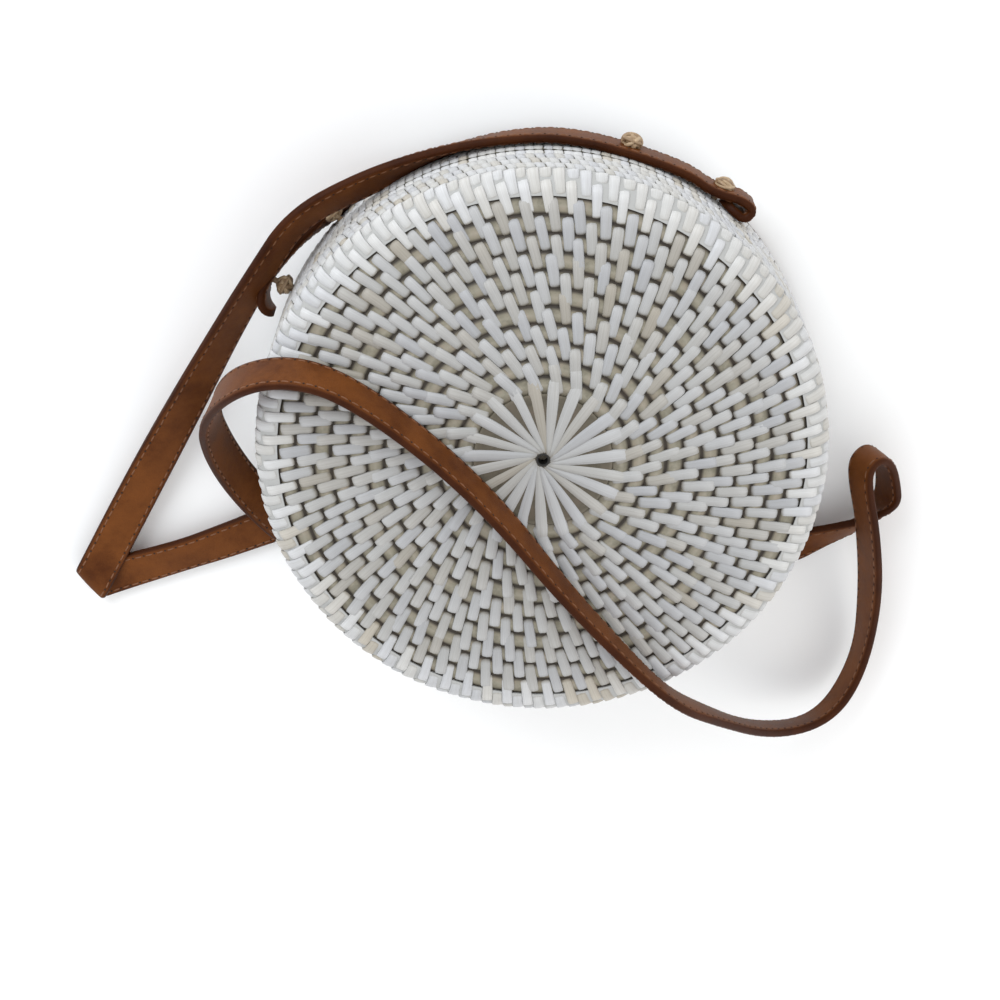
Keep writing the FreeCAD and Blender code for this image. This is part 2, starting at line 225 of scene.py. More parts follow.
# %% Finish of the white strips
def white_strip_finish(name, end_shade_colour, painted_light_level):
    material, tree, shader = new_material(name)
    uv = add_node(tree, "ShaderNodeUVMap", uv_map="UVMap").outputs["UV"]
    shade = add_node(tree, "ShaderNodeAttribute", attribute_name="shade").outputs["Fac"]
    tint = ramp(tree, shade, [
        (0.0, (0.47, 0.475, 0.49)), (0.35, (0.53, 0.532, 0.535)), (0.65, (0.515, 0.512, 0.50)),
        (0.90, (0.48, 0.465, 0.435)), (1.0, (0.42, 0.385, 0.325)),
    ])
    moved = add_node(tree, "ShaderNodeVectorMath", {0: uv, 1: shade}, operation="ADD").outputs[0]
    streaks = noise(tree, stretched(tree, moved, (1.2, 16.0, 1.0)), 1.0, 4.0, 0.6)
    streak_colour = ramp(tree, streaks, [(0.30, (0.72, 0.70, 0.66)), (0.62, (1.0, 1.0, 1.0))])
    painted = times(tree, times(tree, tint, streak_colour, 0.6), (painted_light_level, painted_light_level, painted_light_level * 1.01))
    along = add_node(tree, "ShaderNodeSeparateXYZ", {0: uv}).outputs["X"]
    # Painted shade along the strip: dark at both ends, where it sinks between rows, and a little darker on
    # its inner half than on its swell.
    ends = ramp(tree, along, [
        (0.0, end_shade_colour), (0.12, (0.55, 0.52, 0.47)), (0.22, (0.84, 0.84, 0.83)),
        (0.48, (0.90, 0.90, 0.90)), (0.64, (1.0, 1.0, 1.0)), (0.88, (1.0, 1.0, 1.0)),
        (0.95, (0.52, 0.48, 0.42)), (1.0, end_shade_colour),
    ])
    paint(tree, shader, times(tree, painted, ends), 0.45)
    shader.inputs["Specular IOR Level"].default_value = 0.35
    bump(tree, shader, streaks, 0.4, 0.0002)
    return material


# The face strips are a darker copy with painted shade; the corner, wall and rim strips a brighter copy with
# painted light.
white_strip = white_strip_finish("painted_white_strip", (0.10, 0.08, 0.06), painted_light_level=0.875)
edge_strip = white_strip_finish("painted_edge_strip", (0.20, 0.18, 0.16), painted_light_level=1.22)
print("made", white_strip.name, edge_strip.name)

# %% [markdown]
# ## The cane core
# Under the strips lies the coiled core of bare cane. It shows as small beige cells between the strips, and
# painted shade turns it nearly black in the grooves between rows. The grooves follow the part's own rows:
# rings on the faces, levels on the walls. The core is whitened on the corner; painted shade darkens it at
# the seam, in the hole and under the star.

# %% Finish of the bare core
STAR_RADIUS = 24 * MM
FACE_RADIUS = 92 * MM
OUTER_RADIUS = 100 * MM
FACE_ROWS = 11
ROW_PITCH = (FACE_RADIUS - STAR_RADIUS) / FACE_ROWS
SEAM_HEIGHT = 40 * MM
WALL_FROM_SEAM = 6.15 * MM
CORNER_FROM_SEAM = 27 * MM
WALL_ROWS = 3
WALL_PITCH = (CORNER_FROM_SEAM - WALL_FROM_SEAM) / WALL_ROWS
LAST_LEVEL = WALL_ROWS + 0.78
FIRST_COIL = 0.26
SEAM_SHADE_REACH = 10 * MM
SEAM_SHADE_RADIUS = 102 * MM
STAR_SHADE_REACH = 30 * MM


def core_finish(name, on_wall):
    material, tree, shader = new_material(name)
    place_of = object_place(tree)
    split = add_node(tree, "ShaderNodeSeparateXYZ", {0: place_of}).outputs
    flat = add_node(tree, "ShaderNodeCombineXYZ", {0: split["X"], 1: split["Y"]}).outputs[0]
    radius = add_node(tree, "ShaderNodeVectorMath", {0: flat}, operation="LENGTH").outputs["Value"]
    if on_wall:
        from_seam = maths(tree, "ABSOLUTE", maths(tree, "SUBTRACT", split["Z"], SEAM_HEIGHT))
        level = maths(tree, "DIVIDE", maths(tree, "SUBTRACT", from_seam, WALL_FROM_SEAM), WALL_PITCH)
        row = maths(tree, "MINIMUM", level, LAST_LEVEL)
    else:
        coils = maths(tree, "DIVIDE", maths(tree, "SUBTRACT", radius, STAR_RADIUS), ROW_PITCH)
        row = maths(tree, "MAXIMUM", coils, FIRST_COIL)
    groove = maths(tree, "ABSOLUTE", maths(tree, "SUBTRACT", maths(tree, "FRACT", row), 0.5))
    # Painted shade: the core turns nearly black in the grooves between rows.
    depth = ramp(tree, groove, [
        (0.0, (1.0, 1.0, 1.0)), (0.28, (0.80, 0.78, 0.74)), (0.43, (0.11, 0.085, 0.065)),
    ])
    cane = ramp(tree, noise(tree, place_of, 260.0, 5.0, 0.6), [
        (0.25, (0.155, 0.143, 0.103)), (0.5, (0.255, 0.234, 0.180)), (0.75, (0.315, 0.268, 0.213)),
    ])
    coiled = times(tree, cane, depth)
    if on_wall:
        share = maths(tree, "DIVIDE", level, WALL_ROWS + 1)
        on_corner = ramp(tree, share, [(0.735, (0, 0, 0)), (0.765, (1, 1, 1))])
        coiled = mixed(tree, on_corner, coiled, (0.40, 0.40, 0.39))
        # Painted shade: the core turns nearly black close to the seam, on its outer side only, where the
        # halves meet.
        seam = ramp(tree, maths(tree, "DIVIDE", from_seam, SEAM_SHADE_REACH), [
            (0.0, (0.04, 0.035, 0.03)), (0.12, (0.06, 0.05, 0.04)), (0.20, (1, 1, 1)),
        ])
        outside = ramp(tree, maths(tree, "DIVIDE", radius, SEAM_SHADE_RADIUS), [
            (0.960, (0, 0, 0)), (0.972, (1, 1, 1)),
        ])
        coiled = mixed(tree, outside, coiled, times(tree, coiled, seam))
    else:
        # Painted shade: nearly black in the hole, and darker under the star, where dark wedges show between
        # its strips.
        star_shade = ramp(tree, maths(tree, "DIVIDE", radius, STAR_SHADE_REACH), [
            (0.07, (0.02, 0.018, 0.015)), (0.10, (0.34, 0.31, 0.28)), (0.76, (0.42, 0.39, 0.36)),
            (0.90, (1, 1, 1)),
        ])
        coiled = times(tree, coiled, star_shade)
    paint(tree, shader, coiled, 0.62)
    bump(tree, shader, noise(tree, place_of, 900.0, 4.0), 0.3, 0.0003)
    return material


face_core = core_finish("bare_core_face", on_wall=False)
wall_core = core_finish("bare_core_wall", on_wall=True)
CORE_FINISHES = {"face": face_core, "wall": wall_core, "rim": wall_core}
for half in ("front", "back"):
    for piece_name, finish in CORE_FINISHES.items():
        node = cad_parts[half + "_" + piece_name]
        node.data.materials.clear()
        node.data.materials.append(finish)
print("core finishes on", 2 * len(CORE_FINISHES), "nodes")

# %% [markdown]
# ## One strip
# A strip leaves one groove, lies flat over a row, crosses the next groove, swells over the second row and
# dives round its shoulder. Its section is a flat hexagon with a crowned top. One short mesh with a few
# dozen faces is enough, because it is copied more than a thousand times.

# %% Strip shapes
SECTION = [(-0.5, -0.55), (-0.43, 0.02), (0.0, 0.22), (0.43, 0.02), (0.5, -0.55), (0.0, -0.75)]


def swept_mesh(name, rings, finish=None):
    """Closed mesh through rings of points. Each point comes with its place on the UV map."""
    count, last = len(rings[0]), len(rings) - 1
    uvs = [uv for ring in rings for point, uv in ring]
    faces = []
    for start in range(0, last * count, count):
        for side in range(count):
            a, b = start + side, start + (side + 1) % count
            faces.append((a, b, b + count, a + count))
    faces.append(tuple(range(count)))
    faces.append(tuple(reversed(range(last * count, (last + 1) * count))))
    mesh = mesh_from(name, [point for ring in rings for point, uv in ring], faces)
    layer = mesh.uv_layers.new(name="UVMap")
    for loop in mesh.loops:
        layer.data[loop.index].uv = uvs[loop.vertex_index]
    return outward(mesh, finish)


def strip_pattern(name, path, thickness):
    """Strip along +X, in millimetres. Each path point is a distance along, a height and a width."""
    rings = []
    last = len(path) - 1
    for index, (along, height, wide) in enumerate(path):
        before, after = path[max(index - 1, 0)], path[min(index + 1, last)]
        slope = math.atan2(after[1] - before[1], after[0] - before[0])
        ring = []
        for across, up in SECTION:
            lift = up * thickness
            point = Vector((along - math.sin(slope) * lift, across * wide, height + math.cos(slope) * lift))
            ring.append((point * MM, (index / last, across + 0.5)))
        rings.append(ring)
    return add_object(name, swept_mesh(name, rings))


FACE_STRIP = [
    (0.25, -1.30, 3.0), (0.60, -0.50, 3.4), (1.20, 0.00, 3.7), (2.40, 0.24, 3.85), (4.20, 0.28, 3.9),
    (6.20, 0.24, 3.95), (8.20, 0.42, 4.0), (9.90, 0.52, 4.0), (11.0, 0.40, 3.9), (11.6, 0.02, 3.6),
    (11.95, -0.60, 3.2), (12.15, -1.30, 2.9),
]
face_strip = strip_pattern("face_strip_pattern", FACE_STRIP, thickness=0.9)
print("strip faces", len(face_strip.data.polygons))

# %% [markdown]
# ## Copies on points
# One Geometry Nodes tree places every repeated thing on this bag: strips, stitches and turns of cane. It
# takes a cloud of points that carry a turn and a size, puts a copy of the pattern on each, turns it a
# little at random from a fixed seed, stores a random shade for the finish, and ends as real faces with a
# material.

# %% The placing tree
INPUTS = {
    "Points": "Geometry", "Pattern": "Object", "Finish": "Material", "Looseness": "Float", "Seed": "Int",
}


def placing_tree():
    tree = bpy.data.node_groups.new("copies_on_points", "GeometryNodeTree")
    for socket, kind in INPUTS.items():
        tree.interface.new_socket(socket, in_out="INPUT", socket_type="NodeSocket" + kind)
    tree.interface.new_socket("Copies", in_out="OUTPUT", socket_type="NodeSocketGeometry")
    start = tree.nodes.new("NodeGroupInput")
    end = tree.nodes.new("NodeGroupOutput")
    turn = add_node(tree, "GeometryNodeInputNamedAttribute", {"Name": "turn"}, data_type="FLOAT_VECTOR")
    size = add_node(tree, "GeometryNodeInputNamedAttribute", {"Name": "size"}, data_type="FLOAT_VECTOR")
    pattern = add_node(tree, "GeometryNodeObjectInfo", {"Object": start.outputs["Pattern"]})
    placed = add_node(tree, "GeometryNodeInstanceOnPoints", {
        "Points": start.outputs["Points"], "Instance": pattern.outputs["Geometry"],
        "Rotation": turn.outputs[0], "Scale": size.outputs[0],
    })
    sway = add_node(tree, "FunctionNodeRandomValue", {
        0: (-1, -1, -1), 1: (1, 1, 1), "Seed": start.outputs["Seed"],
    }, data_type="FLOAT_VECTOR")
    by = add_node(tree, "ShaderNodeVectorMath", {
        0: sway.outputs[0], "Scale": start.outputs["Looseness"],
    }, operation="SCALE")
    turned = add_node(tree, "GeometryNodeRotateInstances", {
        "Instances": placed.outputs[0], "Rotation": by.outputs[0], "Local Space": True,
    })
    other_seed = add_node(tree, "FunctionNodeIntegerMath", {0: start.outputs["Seed"], 1: 7}, operation="ADD")
    shade = add_node(tree, "FunctionNodeRandomValue", {"Seed": other_seed.outputs[0]}, data_type="FLOAT")
    stored = add_node(tree, "GeometryNodeStoreNamedAttribute", {
        "Geometry": turned.outputs[0], "Name": "shade", "Value": shade.outputs[1],
    }, data_type="FLOAT", domain="INSTANCE")
    real = add_node(tree, "GeometryNodeRealizeInstances", {"Geometry": stored.outputs[0]})
    finished = add_node(tree, "GeometryNodeSetMaterial", {
        "Geometry": real.outputs[0], "Material": start.outputs["Finish"],
    })
    tree.links.new(finished.outputs[0], end.inputs["Copies"])
    return tree


copies_tree = placing_tree()
SOCKETS = {item.name: item.identifier for item in copies_tree.interface.items_tree if item.in_out == "INPUT"}
print("inputs", list(SOCKETS))

# %% Placing helper
def copies(name, places, pattern, finish, looseness, seed):
    """One plain mesh of copies. Each place is a point, the copy's own X and Z directions, and its size."""
    cloud = bpy.data.meshes.new(name + "_points")
    cloud.from_pydata([tuple(point) for point, along, up, size in places], [], [])
    turn = cloud.attributes.new("turn", "FLOAT_VECTOR", "POINT")
    scale = cloud.attributes.new("size", "FLOAT_VECTOR", "POINT")
    for index, (point, along, up, size) in enumerate(places):
        x = along.normalized()
        y = up.cross(x).normalized()
        z = x.cross(y)
        turn.data[index].vector = Matrix((x, y, z)).transposed().to_euler()
        scale.data[index].vector = size
    piece = add_object(name, cloud)
    modifier = piece.modifiers.new("copies", "NODES")
    modifier.node_group = copies_tree
    settings = {"Pattern": pattern, "Finish": finish, "Looseness": looseness, "Seed": seed}
    for socket, value in settings.items():
        modifier[SOCKETS[socket]] = value
    bpy.context.view_layer.update()
    evaluated = piece.evaluated_get(bpy.context.evaluated_depsgraph_get())
    mesh = bpy.data.meshes.new_from_object(evaluated)
    piece.modifiers.remove(modifier)
    piece.data = mesh
    mesh.name = name
    bpy.data.meshes.remove(cloud)
    print(name, "copies", len(places), "faces", len(mesh.polygons))
    return piece


BODIES = {1: "front_half", -1: "back_half"}
HALVES = {1: "front", -1: "back"}


def overcast(name, places_on, pattern, finish, draws, looseness, seed):
    """The same strips on both halves. The draws number starts the random choices of each half."""
    for side in (1, -1):
        places = places_on(side, random.Random(draws))
        piece = copies(HALVES[side] + "_" + name + "_strips", places, pattern, finish, looseness, seed)
        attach(piece, BODIES[side])
    bpy.data.objects.remove(pattern)


# %% [markdown]
# ## Rows of strips on the faces
# The first row outside the star has twenty-three strips. Every further row starts close beside the strips
# of the last, leaning the same way, and wherever the gap has grown too wide another strip is let in, as
# the weaver does. So the columns curl outwards like a pinwheel, with a bare cell on one side of each
# strip only.

# %% Where the strips of each row start
FIRST_ROW_STRIPS = 23
WIDEST_STEP = 8.0 * MM
BESIDE_SHARE = 0.43
LEAN = 0.23
MORE_LEAN = 0.27
LEAN_EVEN_FROM = 52 * MM
LEAN_CHANGES_OVER = 26 * MM
EVENING_SHARE = 0.35
EVENING_ROUNDS = 9
CHOICE_LOOSENESS = 0.02


def row_radius(row):
    return STAR_RADIUS + row * ROW_PITCH


def lean_at(radius):
    """Sideways run of a strip for each unit outwards, more near the star."""
    near_star = min(max((LEAN_EVEN_FROM - radius) / LEAN_CHANGES_OVER, 0.0), 1.0)
    return LEAN + MORE_LEAN * near_star


def evened(angles):
    """Moves each angle part of the way to the middle of its neighbours, round the circle."""
    size = len(angles)
    before = [angles[i - 1] - (2 * math.pi if i == 0 else 0) for i in range(size)]
    after = [angles[(i + 1) % size] + (2 * math.pi if i == size - 1 else 0) for i in range(size)]
    return [a + EVENING_SHARE * ((b + c) / 2 - a) for a, b, c in zip(angles, before, after)]


def next_row(last, radius):
    """Angles of the strips that start at this radius, beside those of the row before."""
    whole = 2 * math.pi
    gaps = [(last[(i + 1) % len(last)] - last[i]) % whole for i in range(len(last))]
    shift = lean_at(radius) * ROW_PITCH / radius
    angles = [angle + gap * BESIDE_SHARE + shift for angle, gap in zip(last, gaps)]
    wanted = round(whole * (radius + ROW_PITCH) / WIDEST_STEP)
    let_in = max(wanted - len(last), 0)
    start = WEAVER.random() * len(last)
    for n in range(let_in):
        first = int(start + n * len(last) / let_in)
        after = int(start + (n + 1) * len(last) / let_in)
        room = {i: gaps[i % len(last)] + CHOICE_LOOSENESS * WEAVER.random() for i in range(first, after)}
        widest = max(room, key=room.get) % len(last)
        angles.append(angles[widest] + gaps[widest] / 2)
    angles = sorted(angle % whole for angle in angles)
    for _ in range(EVENING_ROUNDS):
        angles = evened(angles)
    return angles


WEAVER = random.Random(17)
strip_rows = [[2 * math.pi * i / FIRST_ROW_STRIPS for i in range(FIRST_ROW_STRIPS)]]
while len(strip_rows) <= FACE_ROWS:
    strip_rows.append(next_row(strip_rows[-1], row_radius(len(strip_rows))))
print("strips in each row", [len(row) for row in strip_rows])

# %% [markdown]
# The dome is one round arc from the level star to the corner. A strip's place on it needs the point and
# two directions: out along the leaning strip, and straight out of the surface. The back half is the same,
# turned over at the seam, so the side is a sign.

# %% Strips on the domes
DOME_RISE = 5 * MM
HALF_DEPTH = 40 * MM
DOME_RADIUS = ((FACE_RADIUS - STAR_RADIUS) ** 2 + DOME_RISE ** 2) / (2 * DOME_RISE)
WHOLE_ROWS = FACE_ROWS - 1


def dome_height(radius):
    """Height of a face over the seam."""
    out = max(radius - STAR_RADIUS, 0)
    return HALF_DEPTH - (DOME_RADIUS - math.sqrt(DOME_RADIUS ** 2 - out ** 2))


def round_directions(angle):
    """Straight outwards and straight round, on the level."""
    return Vector((math.cos(angle), math.sin(angle), 0)), Vector((-math.sin(angle), math.cos(angle), 0))


def strip_width(row):
    """Width of this row's strips as a share of the pattern's."""
    return 2 * math.pi * (row_radius(row) + ROW_PITCH) / len(strip_rows[row]) / WIDEST_STEP


def face_places(side, rng):
    places = []
    for row, angles in enumerate(strip_rows[:WHOLE_ROWS]):
        for angle in angles:
            radius = row_radius(row) + rng.uniform(-0.2, 0.2) * MM
            flat, around = round_directions(angle)
            slope = math.asin(max(radius + ROW_PITCH - STAR_RADIUS, 0) / DOME_RADIUS)
            point = flat * radius + Vector((0, 0, SEAM_HEIGHT + side * dome_height(radius)))
            outwards = flat * math.cos(slope) - Vector((0, 0, side * math.sin(slope)))
            up = flat * math.sin(slope) + Vector((0, 0, side * math.cos(slope)))
            along = outwards + around * lean_at(radius) * rng.uniform(0.85, 1.15)
            long, wide = rng.uniform(0.98, 1.02), strip_width(row) * rng.uniform(0.93, 1.06)
            places.append((point, along, up, (long, wide, rng.uniform(0.9, 1.1))))
    return places


overcast("face", face_places, face_strip, white_strip, draws=11, looseness=0.025, seed=3)

# %% [markdown]
# ## The star
# In the middle, long strips run from the little hole to the first row. Each passes just beside the
# middle, so the star turns like a pinwheel too. Near the hole they lie over each other's edges, and
# further out they part and leave dark wedges between them, from painted shade on the core below.

# %% Star of long strips
STAR_STRIP = [
    (1.1, -2.6, 1.0), (1.3, -0.6, 1.1), (2.2, 0.06, 1.4), (4.5, 0.22, 1.9), (8.0, 0.26, 2.7),
    (12.0, 0.26, 3.4), (17.0, 0.26, 4.1), (21.5, 0.26, 4.4), (24.0, 0.30, 4.4), (26.6, 0.50, 4.2),
    (28.3, 0.40, 3.9), (29.2, -0.05, 3.4), (29.7, -0.70, 2.9), (29.9, -1.30, 2.5),
]
BESIDE_MIDDLE = 1.7 * MM
STAR_TILT = 0.07


def star_places(side, rng):
    places = []
    for angle in strip_rows[0]:
        turned = angle - BESIDE_SHARE * 2 * math.pi / FIRST_ROW_STRIPS
        flat, around = round_directions(turned + rng.uniform(-0.02, 0.02))
        middle = Vector((0, 0, SEAM_HEIGHT + side * (HALF_DEPTH - rng.uniform(0.0, 0.2) * MM)))
        up = Vector((0, 0, side)) + around * STAR_TILT
        places.append((middle - around * BESIDE_MIDDLE, flat, up, (1.0, rng.uniform(0.94, 1.08), 1.0)))
    return places


star_strip = strip_pattern("star_strip_pattern", STAR_STRIP, thickness=0.8)
overcast("star", star_places, star_strip, white_strip, draws=5, looseness=0.004, seed=9)

# %% [markdown]
# ## Over the corner
# The last rows of strips roll over the corner. A bent strip is the same mesh along a path that turns with
# the corner: one starts a row before it and ends halfway round, one starts at its top and ends on the
# wall, and one starts halfway and closes the gaps, so that from there on no bare cane shows.

# %% Corner strips
CORNER_RADIUS = 8 * MM
CORNER_ROUND = CORNER_RADIUS / MM


def bent(proud, degrees, wide):
    """Path point over the corner, in millimetres from its top, as far round as the angle says."""
    turn = math.radians(degrees)
    reach = CORNER_ROUND + proud
    return reach * math.sin(turn), reach * math.cos(turn) - CORNER_ROUND, wide


UPPER_CORNER_STRIP = [
    (-6.0, -0.45, 3.1), (-5.6, 0.35, 3.3), (-4.9, 0.85, 3.4), (-3.0, 0.72, 3.5), (-0.6, 0.45, 3.6),
    bent(0.40, 10, 3.7), bent(0.48, 20, 3.8), bent(0.48, 29, 3.8), bent(0.30, 37, 3.7), bent(-0.20, 42, 3.6),
    bent(-1.0, 44, 3.5),
]
LOWER_CORNER_STRIP = [
    (0.25, -1.1, 3.1), (0.6, -0.4, 3.3), bent(0.10, 9, 3.5), bent(0.30, 18, 3.7), bent(0.34, 32, 3.8),
    bent(0.36, 46, 4.0), bent(0.42, 60, 4.3), bent(0.46, 72, 4.4), bent(0.30, 81, 4.4), bent(-0.30, 87, 4.2),
    bent(-1.1, 89, 4.0),
]
LAST_CORNER_STRIP = [
    bent(-1.1, 45, 3.4), bent(-0.4, 46, 3.6), bent(0.20, 50, 3.9), bent(0.36, 57, 4.2), bent(0.44, 66, 4.4),
    bent(0.42, 75, 4.5), bent(0.30, 82, 4.5), bent(-0.30, 88, 4.3), bent(-1.1, 90, 4.1),
]
CORNER_LEAN = 0.18
LAST_ROW = strip_rows[FACE_ROWS - 1]
LAST_STEP = 2 * math.pi / len(LAST_ROW)
LEAN_SHIFT = CORNER_LEAN * ROW_PITCH / FACE_RADIUS
CORNER_STRIPS = {
    "upper": (UPPER_CORNER_STRIP, 0.0),
    "lower": (LOWER_CORNER_STRIP, 0.45),
    "last": (LAST_CORNER_STRIP, 0.95),
}


def corner_places(side, steps, rng):
    """Places a share of a step beside the strips of the last row."""
    places = []
    top = Vector((0, 0, SEAM_HEIGHT + side * (CORNER_FROM_SEAM + CORNER_RADIUS)))
    beside = LEAN_SHIFT + steps * LAST_STEP
    for angle in LAST_ROW:
        flat, around = round_directions(angle + beside + rng.uniform(-0.002, 0.002))
        size = (1.0, rng.uniform(0.95, 1.06), 1.0)
        places.append((flat * FACE_RADIUS + top, flat + around * CORNER_LEAN, Vector((0, 0, side)), size))
    return places


for name, (path, steps) in CORNER_STRIPS.items():
    pattern = strip_pattern(name + "_corner_pattern", path, thickness=0.85)
    overcast(name + "_corner", lambda side, rng: corner_places(side, steps, rng), pattern, edge_strip,
             draws=len(path), looseness=0.012, seed=4)

# %% [markdown]
# ## The wall and the rim
# Below the corner the strips lie close together, one beside the next, with only small dark points of
# painted shade where they sink between rows. The rim is a hoop overcast all the way round. At the seam its
# strips turn in, and that leaves the thin dark line where the two halves meet, deepened by painted shade
# on the core.

# %% Wall strips
WALL_STRIP = [
    (-3.75, -1.5, 3.0), (-3.5, -0.55, 3.2), (-2.8, 0.14, 3.3), (-1.5, 0.40, 3.35), (0.0, 0.46, 3.35),
    (1.5, 0.40, 3.35), (2.8, 0.14, 3.3), (3.5, -0.55, 3.2), (3.75, -1.5, 3.0),
]
WALL_STRIPS = 188
WALL_LEAN = 0.22


def wall_places(side, rng):
    places = []
    for row in range(WALL_ROWS):
        height = WALL_FROM_SEAM + (row + 0.5) * WALL_PITCH
        for i in range(WALL_STRIPS):
            angle = 2 * math.pi * (i + 0.5 * (row % 2) + rng.uniform(-0.08, 0.08)) / WALL_STRIPS
            flat, around = round_directions(angle)
            point = flat * OUTER_RADIUS + Vector((0, 0, SEAM_HEIGHT + side * height))
            along = Vector((0, 0, -side)) + around * WALL_LEAN
            size = (rng.uniform(0.95, 1.02), rng.uniform(0.94, 1.06), rng.uniform(0.9, 1.1))
            places.append((point, along, flat, size))
    return places


wall_strip = strip_pattern("wall_strip_pattern", WALL_STRIP, thickness=0.85)
overcast("wall", wall_places, wall_strip, edge_strip, draws=31, looseness=0.02, seed=6)

# %% Rim strips
RIM_STRIP = [
    (-1.75, -2.8, 3.0), (-1.9, -1.6, 3.1), (-1.75, -0.62, 3.2), (-1.2, 0.08, 3.3), (-0.3, 0.38, 3.35),
    (0.9, 0.38, 3.35), (2.0, 0.12, 3.3), (2.8, -0.55, 3.2), (3.1, -1.5, 3.0),
]
RIM_MIDDLE = 3.1 * MM
RIM_LEAN = 0.12


def rim_places(side, rng):
    places = []
    for i in range(WALL_STRIPS):
        flat, around = round_directions(2 * math.pi * (i + rng.uniform(-0.08, 0.08)) / WALL_STRIPS)
        point = flat * OUTER_RADIUS + Vector((0, 0, SEAM_HEIGHT + side * RIM_MIDDLE))
        along = Vector((0, 0, side)) - around * RIM_LEAN
        places.append((point, along, flat, (1.0, rng.uniform(0.94, 1.06), 1.0)))
    return places


rim_strip = strip_pattern("rim_strip_pattern", RIM_STRIP, thickness=0.7)
overcast("rim", rim_places, rim_strip, edge_strip, draws=41, looseness=0.012, seed=8)
print("weave done")

# %% [markdown]
# ## The strap's route
# The strap is one flat band. Its middle line is a smooth NURBS curve whose control points are the route's
# own; a second curve with the same points, each moved a little along the band's width, tells which way
# the width points. A row of the route is a point in millimetres and two angles of the width: its compass
# direction and its rise. Reading both curves at the same steps gives the band a middle and a width all
# the way along.

# %% Route points
STRAP_WIDTH = 15 * MM
STRAP_THICKNESS = 3.5 * MM
STRAP_ROUTE = [
    (81.4, 62.5, 30, 0, 90), (84.2, 57.9, 30, 0, 90), (87.2, 54.1, 30, 0, 90), (91.3, 56.6, 30, 0, 90),
    (87.8, 61.5, 30, 0, 90), (78.9, 66.2, 30, 0, 90), (70.3, 76.7, 30, 0, 90), (36.4, 97.4, 30, 0, 90),
    (10.8, 102.7, 30, 84, 86), (-14.5, 103, 31.2, 98, 72), (-39.5, 99, 35.5, 111, 46),
    (-65, 94, 38.5, 124, 56), (-82.7, 77.7, 36, 137, 56), (-102.8, 57.2, 24, 137, 50),
    (-128.5, 29.8, 13, 137, 30), (-156.5, -0.1, 7.8, 136, 8), (-187, -33.5, 6.8, 115, 0),
    (-187, -33.5, 2.4, 115, 0), (-151, -31, 5.7, 95, 25), (-131, -29.5, 4.6, 95, 15),
    (-108, -27, 2.4, 59, 0), (-108, -27, 6.8, 59, 0), (-116.5, -5, 16, 20, -45), (-117.5, 18, 34, 5, -62),
    (-112.5, 37.2, 55, -20, -84), (-96.8, 52.5, 77, 110, -74), (-76.5, 55, 86, 74, -66),
    (-58.5, 44.7, 86.6, 42, -72), (-35.7, 16.8, 88.2, 28, -75), (-18.5, -12.5, 88.6, 26, -77),
    (-4, -47, 88.2, 37, -83), (12.5, -79.7, 86.8, 139, -85), (22.5, -97.8, 83.4, 138, -61),
    (31.6, -115, 66, 146, -46), (50.8, -145, 34, 168, -45), (75.5, -156.5, 14.5, 216, -58),
    (94.2, -138.5, 9.8, 125, -84), (104, -106, 17, 161, -68), (107.5, -75, 27, 161, -68),
    (108, -55.5, 28, 161, -68), (110.3, -49.5, 26.5, 161, -70), (115.5, -47.8, 23.5, 161, -72),
    (119.2, -53, 19, 161, -72), (119.6, -63, 14, 161, -70), (118, -73, 10.6, 185, -64),
    (109, -80.5, 8.7, 235, -56), (95, -82.5, 7.7, 268, -48), (71.2, -83.8, 6.8, 314, 0),
    (71.2, -83.8, 2.4, 314, 0), (85, -57, 2, 342, 0), (92.4, -19.6, 2, -12, 0), (92.4, 19.6, 2, 12, 0),
    (76.6, 53.6, 2, 35, 0), (51.6, 76.4, 2.1, 56, 0), (28.5, 87.5, 2.1, 72, 0), (2, 92, 2.1, 89, 0),
    (-29, 89, 3, 108, 10), (-49, 90, 13, 118, 66), (-69, 82.2, 22.5, 130, 82), (-80, 74.5, 23.5, 137, 84),
    (-86.2, 69, 24, 143, 86), (-88, 61, 24, 150, 88), (-84.5, 59, 24, 0, 90),
]


def smooth_line(name, points, steps):
    """Points along a NURBS curve of order 3 with these control points."""
    curve = bpy.data.curves.new(name, "CURVE")
    curve.dimensions = "3D"
    spline = curve.splines.new("NURBS")
    spline.points.add(len(points) - 1)
    for control, point in zip(spline.points, points):
        control.co = (*point, 1)
    spline.order_u = 3
    spline.use_endpoint_u = True
    spline.resolution_u = steps
    line = add_object(name, curve)
    bpy.context.view_layer.update()
    mesh = bpy.data.meshes.new_from_object(line)
    read = [v.co.copy() for v in mesh.vertices]
    bpy.data.objects.remove(line)
    bpy.data.curves.remove(curve)
    bpy.data.meshes.remove(mesh)
    return read


def width_vector(across, rise):
    across, rise = math.radians(across), math.radians(rise)
    return Vector((math.cos(across) * math.cos(rise), math.sin(across) * math.cos(rise), math.sin(rise)))


STEPS = 12
EDGE_REACH = 10 * MM
route_points = [Vector((x * MM, y * MM, z * MM)) for x, y, z, across, rise in STRAP_ROUTE]
edge_points = [point + width_vector(*row[3:]) * EDGE_REACH for point, row in zip(route_points, STRAP_ROUTE)]
middles = smooth_line("strap_middle", route_points, STEPS)
edges_line = smooth_line("strap_edge", edge_points, STEPS)
lengths = [0.0]
for a, b in zip(middles, middles[1:]):
    lengths.append(lengths[-1] + (b - a).length)
print("strap points", len(middles), "length", round(lengths[-1], 4))

# %% [markdown]
# ## The leather
# Bridle leather: a warm brown face with a fine grain, dark burnished edges, and paler patches where it
# has been bent and handled. The band carries a UV map, along and across, so that the edges can darken.

